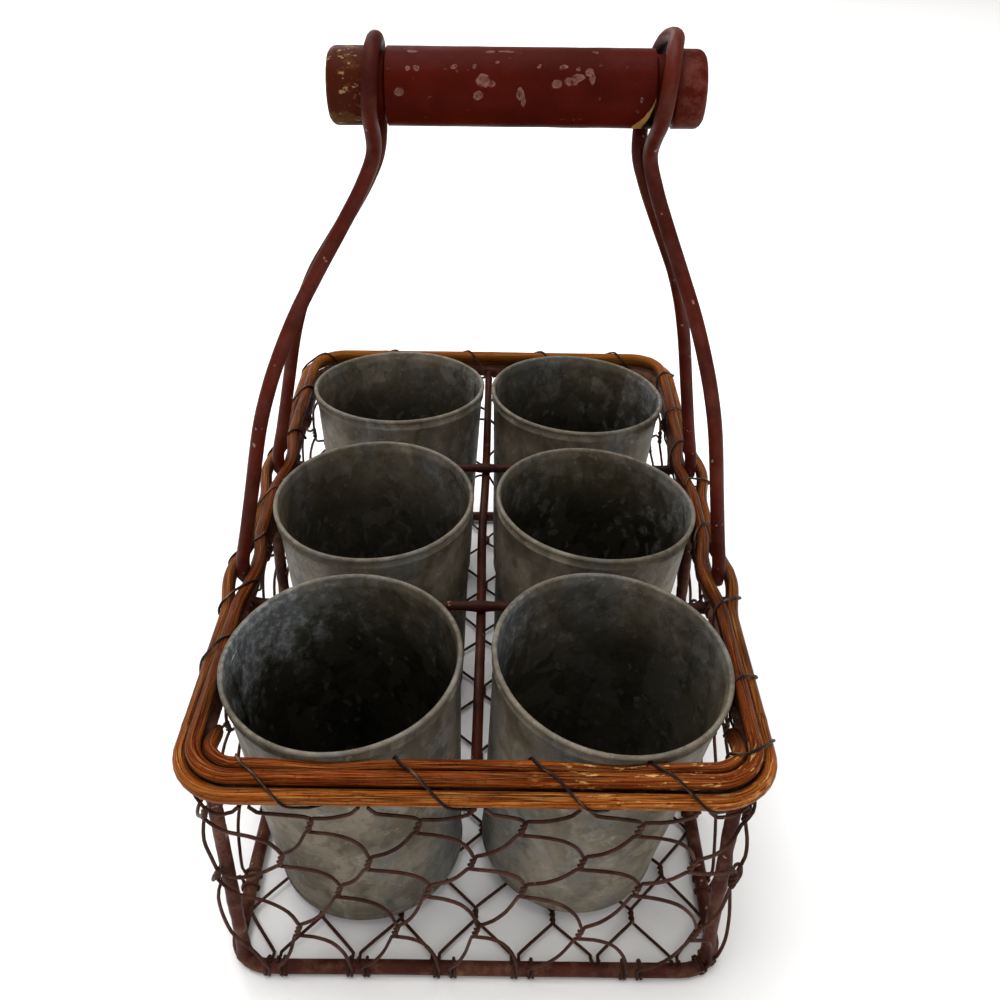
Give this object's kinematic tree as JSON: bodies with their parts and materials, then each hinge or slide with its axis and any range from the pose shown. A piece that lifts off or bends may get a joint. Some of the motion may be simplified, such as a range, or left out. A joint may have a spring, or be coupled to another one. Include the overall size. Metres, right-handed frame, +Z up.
{
  "type": "herb pot caddy",
  "caption": "Wire caddy with hexagonal netting sides, a laced cane rim and a turned wooden grip on hairpin wires, holding tapered zinc herb pots in divided cells.",
  "frame": {"origin": "middle of the base, on the surface it stands on", "axes": "+X to the right and along the grip, +Y to the rear along the length, +Z up; the front faces -Y"},
  "size_m": [0.1871, 0.2842, 0.2727],
  "materials": {
    "painted_steel": "dark red-brown paint, semi-gloss, chipped",
    "netting": "dark brown painted wire",
    "lacing": "blackened soft wire",
    "rattan": "honey-brown rattan cane, waxed",
    "aged_zinc": "mottled galvanised sheet",
    "grip_paint": "dark red paint on turned wood, chipped"
  },
  "bodies": {
    "frame": {"base_ring": "painted_steel", "top_ring": "painted_steel", "post_front_left": "painted_steel", "post_front_right": "painted_steel", "post_middle_left": "painted_steel", "post_middle_right": "painted_steel", "post_rear_left": "painted_steel", "post_rear_right": "painted_steel", "divider_long": "painted_steel", "divider_front": "painted_steel", "divider_rear": "painted_steel", "handle_wire_left": "painted_steel", "handle_wire_right": "painted_steel", "net_front": "netting", "net_right": "netting", "net_rear": "netting", "net_left": "netting", "net_floor": "netting", "rim_cane_outer": "rattan", "rim_cane_inner": "rattan", "rim_cane_front": "rattan", "rim_lacing": "lacing"},
    "grip": {"handle_grip": "grip_paint"},
    "pot_front_left": {"pot_front_left": "aged_zinc", "pot_front_left_floor": "aged_zinc"},
    "pot_front_right": {"pot_front_right": "aged_zinc", "pot_front_right_floor": "aged_zinc"},
    "pot_middle_left": {"pot_middle_left": "aged_zinc", "pot_middle_left_floor": "aged_zinc"},
    "pot_middle_right": {"pot_middle_right": "aged_zinc", "pot_middle_right_floor": "aged_zinc"},
    "pot_rear_left": {"pot_rear_left": "aged_zinc", "pot_rear_left_floor": "aged_zinc"},
    "pot_rear_right": {"pot_rear_right": "aged_zinc", "pot_rear_right_floor": "aged_zinc"}
  },
  "joints": [
    {"name": "grip_spin", "type": "hinge", "parent": "frame", "child": "grip", "pos_m": [0.01, 0, 0.2551], "axis": [1, 0, 0], "continuous": true},
    {"name": "lift_front_left", "type": "slide", "parent": "frame", "child": "pot_front_left", "axis": [-0.0384, -0.0871, 0.9955], "range_m": [0, 0.11]},
    {"name": "lift_front_right", "type": "slide", "parent": "frame", "child": "pot_front_right", "axis": [0.1045, -0.104, 0.9891], "range_m": [0, 0.11]},
    {"name": "lift_middle_left", "type": "slide", "parent": "frame", "child": "pot_middle_left", "axis": [-0.0105, -0.0506, 0.9987], "range_m": [0, 0.055]},
    {"name": "lift_middle_right", "type": "slide", "parent": "frame", "child": "pot_middle_right", "axis": [0.0802, 0, 0.9968], "range_m": [0, 0.055]},
    {"name": "lift_rear_left", "type": "slide", "parent": "frame", "child": "pot_rear_left", "axis": [0.0035, 0.0628, 0.998], "range_m": [0, 0.11]},
    {"name": "lift_rear_right", "type": "slide", "parent": "frame", "child": "pot_rear_right", "axis": [0.0523, 0.0244, 0.9983], "range_m": [0, 0.11]}
  ]
}
